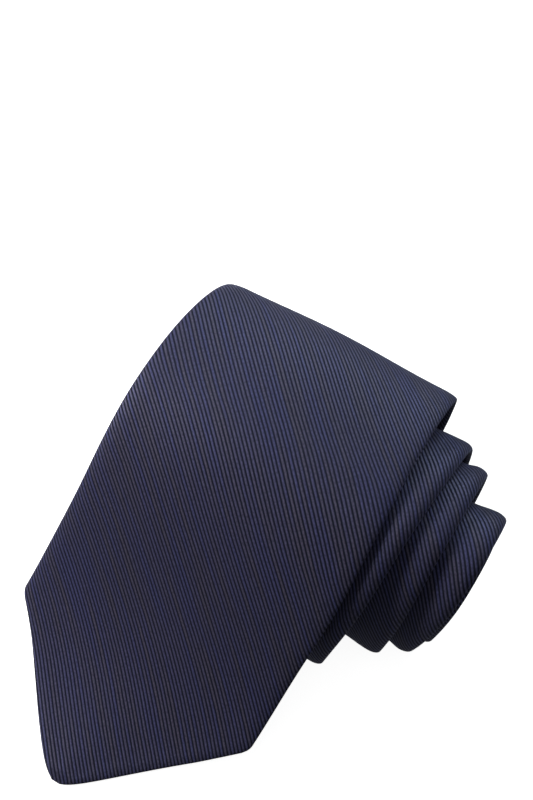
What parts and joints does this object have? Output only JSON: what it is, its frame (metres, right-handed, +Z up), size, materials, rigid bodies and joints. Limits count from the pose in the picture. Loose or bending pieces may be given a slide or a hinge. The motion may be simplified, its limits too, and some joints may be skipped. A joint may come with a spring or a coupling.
{
  "type": "necktie",
  "caption": "Necktie rolled up from its narrow end, wide pointed blade laid over the front of the roll; ribbed satin tube over an interlining, with lining, keeper loop and slip-stitched back.",
  "frame": {"origin": "centre of the bounding box, on the surface the rolled tie rests on", "axes": "+Z up; -Y towards the point of the wide blade; +X along the roll, towards the end where the inner wraps stick out"},
  "size_m": [0.1176, 0.156, 0.058],
  "materials": {
    "satin": "navy satin with fine raised diagonal ribs, soft sheen",
    "wool": "brushed natural interlining, matt",
    "lining": "smooth dark navy lining",
    "thread": "navy sewing thread",
    "tape": "plain woven label tape, no print"
  },
  "bodies": {
    "roll": {"front_panel_roll": "satin", "neck_panel": "satin", "tail_panel": "satin", "keeper_loop": "satin", "interlining_front": "wool", "interlining_tail": "wool", "tipping_tail": "lining", "bar_tack_tail": "thread", "slip_stitch": "thread", "piecing_seam_front": "thread", "piecing_seam_tail": "thread", "keeper_tack_left": "thread", "keeper_tack_right": "thread", "care_label_stitch": "thread", "care_label": "tape"},
    "blade": {"front_panel_blade": "satin", "interlining_blade": "wool", "tipping_front": "lining", "tipping_stitch_front": "thread", "bar_tack_front": "thread"}
  },
  "joints": [
    {"name": "blade_lift", "type": "hinge", "parent": "roll", "child": "blade", "pos_m": [-0.0113, 0.0165, 0.0551], "axis": [-1, 0, 0], "range_deg": [0, 75]}
  ]
}
